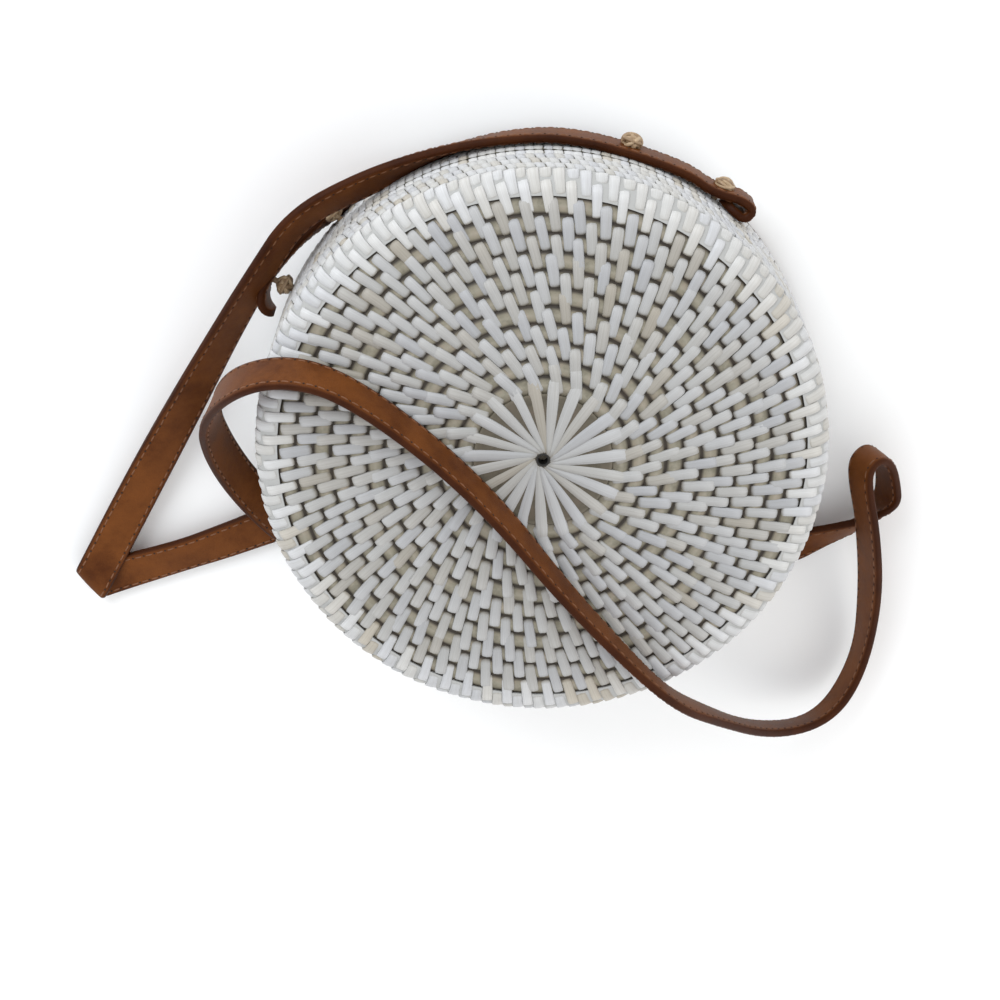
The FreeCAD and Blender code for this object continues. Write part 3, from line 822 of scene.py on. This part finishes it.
# %% Finish of the leather
def leather_finish(name, lit, deep, edge):
    material, tree, shader = new_material(name)
    place_of = object_place(tree)
    clouds = noise(tree, place_of, 60.0, 5.0, 0.65)
    colour = ramp(tree, clouds, [(0.28, deep), (0.55, lit), (0.80, tuple(c * 1.3 for c in lit))])
    cells = {"Vector": place_of, "Scale": 1500.0}
    grain = add_node(tree, "ShaderNodeTexVoronoi", cells, feature="DISTANCE_TO_EDGE").outputs[0]
    pores = ramp(tree, grain, [(0.0, (0.62, 0.58, 0.55)), (0.10, (1.0, 1.0, 1.0))])
    uv = add_node(tree, "ShaderNodeUVMap", uv_map="UVMap").outputs["UV"]
    across = add_node(tree, "ShaderNodeSeparateXYZ", {0: uv}).outputs["Y"]
    away = maths(tree, "ABSOLUTE", maths(tree, "SUBTRACT", across, 0.5))
    burnish = ramp(tree, away, [(0.37, (1.0, 1.0, 1.0)), (0.44, (0.80, 0.76, 0.72)), (0.485, edge)])
    rough = between(tree, clouds, 0.38, 0.60)
    paint(tree, shader, times(tree, times(tree, colour, pores, 0.5), burnish), rough)
    shader.inputs["Specular IOR Level"].default_value = 0.10
    height = maths(tree, "ADD", grain, maths(tree, "MULTIPLY", noise(tree, place_of, 420.0, 4.0), 0.6))
    bump(tree, shader, height, 0.25, 0.0004)
    return material


# The lit, the deep and the edge colour of each leather.
LEATHERS = {
    "strap_leather": ((0.142, 0.0445, 0.0095), (0.074, 0.0195, 0.0034), (0.34, 0.27, 0.22)),
    "pocket_leather": ((0.16, 0.060, 0.024), (0.09, 0.030, 0.010), (0.6, 0.55, 0.5)),
}
strap_leather, pocket_leather = [leather_finish(name, *colours) for name, colours in LEATHERS.items()]
print("leather finishes ready")

# %% [markdown]
# ## The band
# At each point of the route a rounded rectangle is set square to the band. Where the band is folded flat,
# the width runs along the crease and not square to the line, so it is widened by the slant. Three lengths
# of band meet at hidden folds: two stay with the back half, and the middle one is fixed in place and
# follows neither half. The right end is turned back into a small eye, the left one bends in beside its
# knot, and both tips are cut to a half round.

# %% Band sections
EDGE_ROUND = 1.1 * MM
ROUND_STEPS = 3
CROWN = 0.25 * MM
CROWN_SHARES = (0.12, 0.3, 0.5, 0.7, 0.88)
LEAST_SLANT = 0.72
LOBE = STRAP_WIDTH / 2
LOBE_ANGLES = (12, 24, 36, 48, 60, 72, 84)
TIP_SHARE = 0.08


def section_outline():
    """Rounded rectangle with slightly crowned faces: across and through."""
    half, thick = STRAP_WIDTH / 2, STRAP_THICKNESS / 2 - CROWN
    outline = []
    for corner, (sx, sz) in enumerate(((1, 1), (-1, 1), (-1, -1), (1, -1))):
        for step in range(ROUND_STEPS + 1):
            turn = math.radians(90 * (corner + step / ROUND_STEPS))
            x = sx * (half - EDGE_ROUND) + EDGE_ROUND * math.cos(turn)
            z = sz * (thick - EDGE_ROUND) + EDGE_ROUND * math.sin(turn)
            outline.append((x, z))
        if corner in (0, 2):
            for share in CROWN_SHARES:
                rise = CROWN * (1 - (2 * share - 1) ** 2)
                outline.append((sx * (half - EDGE_ROUND) * (1 - 2 * share), sz * (thick + rise)))
    return outline


OUTLINE = section_outline()


def band_frames():
    """For each point of the middle line: the point, along, across for each metre of width, and through."""
    found = []
    last = len(middles) - 1
    for i, middle in enumerate(middles):
        along = (middles[min(i + 1, last)] - middles[max(i - 1, 0)]).normalized()
        width = (edges_line[i] - middle).normalized()
        through = along.cross(width)
        found.append((middle, along, width / max(through.length, LEAST_SLANT), through.normalized()))
    return found


frames = band_frames()


def frame_at(distance):
    """Frame of the band at this distance along it."""
    i = 0
    while i < len(lengths) - 2 and lengths[i + 1] < distance:
        i += 1
    share = (distance - lengths[i]) / (lengths[i + 1] - lengths[i])
    middle, along, width, through = (a.lerp(b, share) for a, b in zip(frames[i], frames[i + 1]))
    return middle, along.normalized(), width, through.normalized()


print("band outline points", len(OUTLINE), "frames", len(frames))

# %% Band meshes
def stations(first, last):
    """Distances of the band's rings, with closer ones in the rounding of a free end."""
    start, end, whole = lengths[first], lengths[last], lengths[-1]
    found = [d for d in lengths[first:last + 1] if LOBE < d < whole - LOBE or d in (start, end)]
    rounding = [LOBE * (1 - math.cos(math.radians(angle))) for angle in LOBE_ANGLES]
    if start == 0:
        found += rounding + [LOBE]
    if end == whole:
        found += [whole - d for d in rounding + [LOBE]]
    return sorted(found)


def end_share(distance):
    """Share of the width that is left near a free end."""
    near = min(distance, lengths[-1] - distance, LOBE) / LOBE
    return max(math.sqrt(1 - (1 - near) ** 2), TIP_SHARE)


def band_mesh(name, first, last):
    rings = []
    for distance in stations(first, last):
        middle, along, width, through = frame_at(distance)
        share = end_share(distance)
        rings.append([
            (middle + width * x * share + through * z, (distance, x / STRAP_WIDTH + 0.5)) for x, z in OUTLINE
        ])
    return swept_mesh(name, rings, strap_leather)


def nearest_index(point):
    return min(range(len(middles)), key=lambda i: (middles[i] - Vector(point) * MM).length)


LEFT_FOLD = nearest_index((-108, -27, 4.6))
RIGHT_FOLD = nearest_index((71.2, -83.8, 4.6))
SPANS = {
    "strap_over_top": (0, LEFT_FOLD),
    "strap_over_front": (LEFT_FOLD, RIGHT_FOLD),
    "strap_under_edge": (RIGHT_FOLD, len(middles) - 1),
}
bands = {}
for name, (first, last) in SPANS.items():
    bands[name] = add_object(name, band_mesh(name, first, last))
    print(name, "length", round(lengths[last] - lengths[first], 4), "faces", len(bands[name].data.polygons))

# %% [markdown]
# ## Stitches along the strap
# A line of stitches runs close inside each edge, on both faces. Each stitch is a short thread nearly the
# colour of the leather that dips into a needle hole at both ends; each hole is a near-black dot of painted
# shade. The same placing tree sets them all.

# %% Thread and needle holes
def thread_finish(name, colour, rough):
    material, tree, shader = new_material(name)
    fibres = noise(tree, object_place(tree), 2500.0)
    dark = tuple(c * 0.6 for c in colour)
    paint(tree, shader, ramp(tree, fibres, [(0.3, dark), (0.7, colour)]), rough)
    bump(tree, shader, fibres, 0.3, 0.0001)
    return material


stitch_thread = thread_finish("stitch_thread", (0.21, 0.078, 0.026), rough=0.6)
# Near-black dots of painted shade stand in for the needle holes.
painted_hole_shade = thread_finish("painted_hole_shade", (0.034, 0.012, 0.004), rough=0.9)
STITCH = [
    (-1.45, -0.45, 0.5), (-1.15, -0.06, 0.55), (-0.5, 0.10, 0.6), (0.5, 0.10, 0.6), (1.15, -0.06, 0.55),
    (1.45, -0.45, 0.5),
]
stitch = strip_pattern("stitch_pattern", STITCH, thickness=0.45)
HOLE_RADIUS = 0.42 * MM
HOLE_FLATNESS = 0.35


def hole_mesh():
    work = bmesh.new()
    bmesh.ops.create_uvsphere(work, u_segments=8, v_segments=5, radius=HOLE_RADIUS)
    bmesh.ops.scale(work, verts=work.verts, vec=(1, 1, HOLE_FLATNESS))
    mesh = mesh_of(work, "hole_pattern")
    mesh.shade_smooth()
    return mesh


hole = add_object("hole_pattern", hole_mesh())
STITCH_PITCH = 4.2 * MM
STITCH_REACH = STRAP_WIDTH / 2 - 1.7 * MM
STITCH_RISE = STRAP_THICKNESS / 2 - 0.6 * CROWN


def stitch_places(first, last, offset):
    places = []
    distance = lengths[first] + STITCH_PITCH * offset
    while distance < lengths[last]:
        middle, along, width, through = frame_at(distance)
        if LOBE <= distance <= lengths[-1] - LOBE:
            for edge in (-1, 1):
                for face in (-1, 1):
                    point = middle + width * edge * STITCH_REACH + through * face * STITCH_RISE
                    places.append((point, along, through * face, (1, 1, 1)))
        distance += STITCH_PITCH
    return places


stitch_sets = {}
for name, (first, last) in SPANS.items():
    places = stitch_places(first, last, 0.5)
    threads = copies(name + "_stitches", places, stitch, stitch_thread, looseness=0.06, seed=13)
    places = stitch_places(first, last, 1.0)
    holes = copies(name + "_needle_holes", places, hole, painted_hole_shade, looseness=0.0, seed=14)
    stitch_sets[name] = [threads, holes]
bpy.data.objects.remove(stitch)
bpy.data.objects.remove(hole)

# %% [markdown]
# The outer lengths ride on the back half, with their stitches. The middle length and its stitches are
# fixed in place and follow neither half. Each length hides the plain solids that it stands for.

# %% Fix the strap to the bodies
REPLACED = {
    "strap_over_top": ["strap_right_end", "strap_top_run", "strap_left_fold"],
    "strap_over_front": ["strap_left_curl", "strap_front_run", "strap_right_run", "strap_right_loop"],
    "strap_under_edge": ["strap_under_run", "strap_left_end"],
}
for name, (first, last) in SPANS.items():
    band = bands[name]
    for piece in [band] + stitch_sets[name]:
        if name == "strap_over_front":
            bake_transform(piece)
        else:
            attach(piece, "back_half")
    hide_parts(*REPLACED[name])
print("strap fixed")

# %% [markdown]
# ## Knots of cane
# Each end of the strap is held by two knots: a thin cane passes through strap and wall and is wound into
# a small lumpy ball, with a bead inside the bag. On the right the balls lie outside the strap, on the
# left between strap and wall. Turns of cane are rings, set at different tilts round a core by the placing
# tree.

# %% Finish of the bare cane
def cane_finish():
    material, tree, shader = new_material("natural_cane")
    place_of = object_place(tree)
    shade = add_node(tree, "ShaderNodeAttribute", attribute_name="shade").outputs["Fac"]
    mottle = noise(tree, place_of, 500.0, 5.0, 0.65)
    tone = maths(tree, "ADD", maths(tree, "MULTIPLY", shade, 0.35), maths(tree, "MULTIPLY", mottle, 0.75))
    colour = ramp(tree, tone, [
        (0.2, (0.13, 0.078, 0.04)), (0.5, (0.31, 0.205, 0.115)), (0.85, (0.52, 0.39, 0.25)),
    ])
    paint(tree, shader, colour, 0.5)
    bump(tree, shader, noise(tree, place_of, 1800.0), 0.4, 0.0002)
    return material


natural_cane = cane_finish()
print("made", natural_cane.name)

# %% Rings of cane
def hoop_faces(around, sides, base=0):
    """Faces of a closed tube whose rings of points are listed one after another."""
    faces = []
    for i in range(around):
        here, there = base + i * sides, base + (i + 1) % around * sides
        for j in range(sides):
            k = (j + 1) % sides
            faces.append((here + j, there + j, there + k, here + k))
    return faces


def ring_pattern(name, ring_radius, tube_radius, around, sides):
    points = []
    for i in range(around):
        turn = 2 * math.pi * i / around
        for j in range(sides):
            tilt = 2 * math.pi * j / sides
            radius = ring_radius + tube_radius * math.cos(tilt)
            points.append((radius * math.cos(turn), radius * math.sin(turn), tube_radius * math.sin(tilt)))
    return add_object(name, outward(mesh_from(name, points, hoop_faces(around, sides))))


cane_turn = ring_pattern("cane_turn_pattern", 3.1 * MM, tube_radius=0.85 * MM, around=28, sides=7)
bead_turn = ring_pattern("bead_turn_pattern", 1.3 * MM, tube_radius=0.8 * MM, around=16, sides=6)
print("turn faces", len(cane_turn.data.polygons), len(bead_turn.data.polygons))

# %% Wound knots
# For each knot its compass angle, its height, and how far out its ball and the end of its cane are.
KNOTS = {
    "strap_knot_right_lower": (38.7, 30.0, 106.6, 106.6),
    "strap_knot_right_upper": (58.5, 30.0, 105.4, 105.4),
    "strap_knot_left_upper": (121.5, 22.0, 104.2, 107.0),
    "strap_knot_left_lower": (138.9, 25.0, 103.6, 111.3),
}
BEAD_AT = OUTER_RADIUS - 7.6 * MM
CANE_RADIUS = 1.1 * MM
BALL_CORE_RADIUS = 2.6 * MM
KNOT_FLATTENED = 0.78
KNOT_LOOSENESS = 0.15


def knot_places(centre, out, rng, tilts):
    """Rings of cane in every direction round one middle."""
    side = Vector((0, 0, 1)).cross(out).normalized()
    up = out.cross(side)
    places = []
    for axis in (out, side, up, out + side, out - up):
        for _ in range(tilts):
            normal = (axis + Vector((rng.uniform(-0.3, 0.3) for _ in range(3)))).normalized()
            across = normal.orthogonal()
            shift = out * rng.uniform(-0.3, 0.3) * MM
            size = rng.uniform(0.88, 1.04)
            places.append((centre + shift, across, normal, (size, size, 1.0)))
    return places


def flattened(piece, centre, out):
    """Presses a wound ball along one direction, as a knot pulled tight against the strap."""
    for vertex in piece.data.vertices:
        away = (vertex.co - centre).dot(out)
        vertex.co -= out * away * (1 - KNOT_FLATTENED)


for name, (angle, height, ball_at, cane_to) in KNOTS.items():
    seed = round(angle)
    rng = random.Random(seed)
    out = round_directions(math.radians(angle))[0]
    axis = Vector((0, 0, height * MM))
    ball_middle = axis + out * ball_at * MM
    ball_places = knot_places(ball_middle, out, rng, 2)
    ball = copies(name + "_turns", ball_places, cane_turn, natural_cane, KNOT_LOOSENESS, seed)
    flattened(ball, ball_middle, out)
    bead_middle = axis + out * BEAD_AT
    bead_places = knot_places(bead_middle, out, rng, 1)
    bead = copies(name + "_bead", bead_places, bead_turn, natural_cane, KNOT_LOOSENESS, seed + 1)
    work = bmesh.new()
    cane_middle = Matrix.Translation(axis + out * (BEAD_AT + cane_to * MM) / 2)
    bmesh.ops.create_cone(work, cap_ends=True, segments=12, radius1=CANE_RADIUS, radius2=CANE_RADIUS,
                          depth=cane_to * MM - BEAD_AT,
                          matrix=cane_middle @ out.to_track_quat("Z", "Y").to_matrix().to_4x4())
    bmesh.ops.create_icosphere(work, subdivisions=2, radius=BALL_CORE_RADIUS,
                               matrix=Matrix.Translation(ball_middle))
    core = add_object(name + "_cane", mesh_of(work, name + "_cane", natural_cane))
    for piece in (ball, bead, core):
        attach(piece, "back_half")
    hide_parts(name)
bpy.data.objects.remove(cane_turn)
bpy.data.objects.remove(bead_turn)

# %% [markdown]
# ## Hinge rings
# At the bottom, two rings of thin cane go through a wall of each half, and the bag opens on them. A cane
# ring is wound from strands, so each is three strands twisted round one circle.

# %% Twisted rings
HINGE_PLACES = {"hinge_ring_left": (-14, -100.6, 40), "hinge_ring_right": (14, -100.6, 40)}
HINGE_RING_RADIUS = 9.5 * MM
STRANDS = 3
STRAND_RADIUS = 0.62 * MM
STRAND_OFFSET = 0.58 * MM
TWISTS = 13
SIDEWAYS = Vector((1, 0, 0))


def twisted_ring(name, centre, around=156, sides=7):
    points, faces = [], []
    for strand in range(STRANDS):
        faces += hoop_faces(around, sides, len(points))
        for i in range(around):
            turn = 2 * math.pi * i / around
            twist = TWISTS * turn + 2 * math.pi * strand / STRANDS
            out = Vector((0, math.cos(turn), math.sin(turn)))
            middle = centre + out * (HINGE_RING_RADIUS + STRAND_OFFSET * math.cos(twist))
            middle += SIDEWAYS * STRAND_OFFSET * math.sin(twist)
            for j in range(sides):
                tilt = 2 * math.pi * j / sides
                points.append(middle + (out * math.cos(tilt) + SIDEWAYS * math.sin(tilt)) * STRAND_RADIUS)
    return outward(mesh_from(name, points, faces), natural_cane)


for name, centre in HINGE_PLACES.items():
    piece = add_object(name + "_cane", twisted_ring(name + "_cane", Vector(centre) * MM))
    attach(piece, "back_half")
    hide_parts(name)
print("hinge rings done")

# %% [markdown]
# ## The lining
# Inside, each half has a cup of plain cotton, glued to the cane and turned in at the rim. It is a turned
# sheet with small puckers where the flat cloth is worked round the corner, and its weave is in the
# finish.

# %% Finish of the cotton
def cotton_finish():
    material, tree, shader = new_material("lining_cotton")
    place_of = object_place(tree)
    lines = {"Vector": place_of, "Scale": 420.0, "Distortion": 0.6}
    warp = add_node(tree, "ShaderNodeTexWave", lines, bands_direction="X").outputs["Fac"]
    weft = add_node(tree, "ShaderNodeTexWave", lines, bands_direction="Y").outputs["Fac"]
    weave = maths(tree, "MULTIPLY", warp, weft)
    patchy = noise(tree, place_of, 35.0, 4.0)
    cloth = ramp(tree, patchy, [(0.3, (0.46, 0.40, 0.31)), (0.7, (0.56, 0.50, 0.40))])
    threads = ramp(tree, weave, [(0.0, (0.78, 0.76, 0.72)), (0.5, (1.0, 1.0, 1.0))])
    paint(tree, shader, times(tree, cloth, threads, 0.8), 0.9)
    shader.inputs["Sheen Weight"].default_value = 0.25
    bump(tree, shader, weave, 0.3, 0.0003)
    return material


lining_cotton = cotton_finish()
print("made", lining_cotton.name)

# %% Lining cups
OUTER_INSET = 5.15 * MM
INNER_INSET = 5.95 * MM
DOME_STEPS = 12
CORNER_STEPS = 4
LINING_WALL_HEIGHTS = (CORNER_FROM_SEAM * 0.7, WALL_FROM_SEAM + 0.6 * MM)
PUCKER_WAVES = 6
PUCKER_FROM = 75 * MM
PUCKER_GROWS_OVER = 15 * MM
PUCKER_LEAST = 0.35 * MM


def lining_profile(inset):
    """Radius and height from the seam, from the middle of the face out to the rim."""
    profile = [(0.0, HALF_DEPTH - inset), (STAR_RADIUS, HALF_DEPTH - inset)]
    for step in range(1, DOME_STEPS + 1):
        radius = STAR_RADIUS + (FACE_RADIUS - STAR_RADIUS) * step / DOME_STEPS
        profile.append((radius, dome_height(radius) - inset))
    bend = CORNER_RADIUS - inset
    for step in range(1, CORNER_STEPS + 1):
        turn = math.radians(90 * step / CORNER_STEPS)
        profile.append((FACE_RADIUS + bend * math.sin(turn), CORNER_FROM_SEAM + bend * math.cos(turn)))
    for height in LINING_WALL_HEIGHTS:
        profile.append((OUTER_RADIUS - inset, height))
    return profile


def lining_mesh(name, side, around=144):
    rng = random.Random(3)
    waves = []
    for _ in range(PUCKER_WAVES):
        waves.append((rng.randint(14, 46), rng.uniform(0, 6.28), rng.uniform(0.06, 0.16) * MM))
    outer = lining_profile(OUTER_INSET)
    points, faces, rows = [], [], []
    for index, (radius, height) in enumerate(outer + lining_profile(INNER_INSET)[::-1]):
        on_inside = index >= len(outer)
        pucker = max(0.0, min((radius - PUCKER_FROM) / PUCKER_GROWS_OVER, 1.0)) * on_inside
        rows.append(range(len(points), len(points) + around))
        for i in range(around):
            turn = 2 * math.pi * i / around
            fold = sum(size * math.sin(count * turn + phase) for count, phase, size in waves)
            inwards = radius - max((fold + PUCKER_LEAST) * pucker, 0)
            points.append((inwards * math.cos(turn), inwards * math.sin(turn), SEAM_HEIGHT + side * height))
    for first, second in zip(rows, rows[1:]):
        for i in range(around):
            j = (i + 1) % around
            faces.append((first[i], first[j], second[j], second[i]))
    return outward(mesh_from(name, points, faces), lining_cotton)


for side in (1, -1):
    name = HALVES[side] + "_lining"
    piece = add_object(name + "_cloth", lining_mesh(name + "_cloth", side))
    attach(piece, BODIES[side])
    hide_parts(name)
print("linings done")

# %% [markdown]
# ## The magnet catch
# At the top of each rim a small leather pocket holds a round magnet. The pocket is a soft-edged block
# that follows the rim's curve; the magnet keeps the part's own solid with a worn steel finish.

# %% Pockets
POCKET_OUTER = 94.1 * MM
POCKET_DEPTH = 10 * MM
POCKET_FROM_SEAM = 0.45 * MM
POCKET_HEIGHT = 4 * MM
POCKET_ANGLE = math.radians(14)
POCKET_STEPS = 8
POCKET_EDGE = 0.8 * MM
SHARP_ANGLE = 0.6
POCKET_INNER = POCKET_OUTER - POCKET_DEPTH
POCKET_CORNERS = ((POCKET_INNER, 0), (POCKET_OUTER, 0), (POCKET_OUTER, 1), (POCKET_INNER, 1))
POCKET_WIDTH = 2 * POCKET_OUTER * math.sin(POCKET_ANGLE / 2)


def pocket_mesh(name, side):
    work = bmesh.new()
    rings = []
    for step in range(POCKET_STEPS + 1):
        angle = math.pi / 2 + POCKET_ANGLE * (step / POCKET_STEPS - 0.5)
        ring = []
        for radius, height in POCKET_CORNERS:
            z = SEAM_HEIGHT + side * (POCKET_FROM_SEAM + height * POCKET_HEIGHT)
            ring.append(work.verts.new((radius * math.cos(angle), radius * math.sin(angle), z)))
        rings.append(ring)
    for a, b in zip(rings, rings[1:]):
        for i in range(4):
            j = (i + 1) % 4
            work.faces.new((a[i], a[j], b[j], b[i]))
    work.faces.new(rings[0])
    work.faces.new(list(reversed(rings[-1])))
    bmesh.ops.recalc_face_normals(work, faces=work.faces)
    sharp = [e for e in work.edges if len(e.link_faces) == 2 and e.calc_face_angle() > SHARP_ANGLE]
    bmesh.ops.bevel(work, geom=sharp, offset=POCKET_EDGE, segments=3, profile=0.5, affect="EDGES")
    mesh = mesh_of(work, name, pocket_leather)
    mesh.shade_smooth()
    layer = mesh.uv_layers.new(name="UVMap")
    for loop in mesh.loops:
        along = mesh.vertices[loop.vertex_index].co.x
        layer.data[loop.index].uv = (along, along / POCKET_WIDTH + 0.5)
    return mesh


for side in (1, -1):
    name = HALVES[side] + "_magnet_pocket"
    piece = add_object(name + "_leather", pocket_mesh(name + "_leather", side))
    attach(piece, BODIES[side])
    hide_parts(name)
print("pockets done")

# %% Magnets
def steel_finish():
    material, tree, shader = new_material("magnet_steel")
    scuffs = noise(tree, object_place(tree), 700.0, 5.0)
    colour = ramp(tree, scuffs, [(0.3, (0.34, 0.34, 0.35)), (0.7, (0.58, 0.58, 0.59))])
    rough = between(tree, scuffs, 0.25, 0.5)
    paint(tree, shader, colour, rough)
    shader.inputs["Metallic"].default_value = 1.0
    return material


magnet_steel = steel_finish()
for side in (1, -1):
    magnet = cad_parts[HALVES[side] + "_magnet"]
    magnet.data.materials.clear()
    magnet.data.materials.append(magnet_steel)
print("catch done")

# %% [markdown]
# ## Floor and light
# A plain pale floor and soft, nearly shadowless light, as in a shop photograph: a bright even sky, one
# broad cool lamp above the bag's top, and a weaker warm one opposite.

# %% Studio
FLOOR_DROP = 0.7 * MM
FLOOR_SIZE = 3.0
work = bmesh.new()
floor_place = Matrix.Translation((0, 0, -FLOOR_DROP))
bmesh.ops.create_grid(work, x_segments=1, y_segments=1, size=FLOOR_SIZE, matrix=floor_place)
floor_paint, tree, shader = new_material("floor_paint")
floor_tone = noise(tree, object_place(tree), 3.0)
paint(tree, shader, ramp(tree, floor_tone, [(0.3, (0.95, 0.95, 0.95)), (0.7, (0.97, 0.97, 0.97))]), 0.8)
floor = add_object("floor", mesh_of(work, "floor", floor_paint))

world = bpy.data.worlds.new("studio")
world.use_nodes = True
sky = world.node_tree.nodes["Background"].inputs
sky["Color"].default_value = (0.97, 0.985, 1.0, 1)
sky["Strength"].default_value = 1.0
bpy.context.scene.world = world
bpy.context.scene.view_settings.view_transform = "Standard"
LAMP_AIM = Vector((0, 0, 0.04))


def lamp(name, place_at, size, power, colour):
    data = bpy.data.lights.new(name, "AREA")
    data.shape = "DISK"
    data.size = size
    data.energy = power
    data.color = colour
    light = bpy.data.objects.new(name, data)
    light.location = place_at
    light.rotation_euler = (LAMP_AIM - Vector(place_at)).to_track_quat("-Z", "Y").to_euler()
    bpy.context.scene.collection.objects.link(light)


lamp("key_lamp", (-0.25, 0.95, 0.85), size=0.8, power=7.0, colour=(0.93, 0.97, 1.0))
lamp("fill_lamp", (0.7, -0.7, 0.8), size=0.9, power=2.8, colour=(1.0, 0.95, 0.88))
print("studio ready")
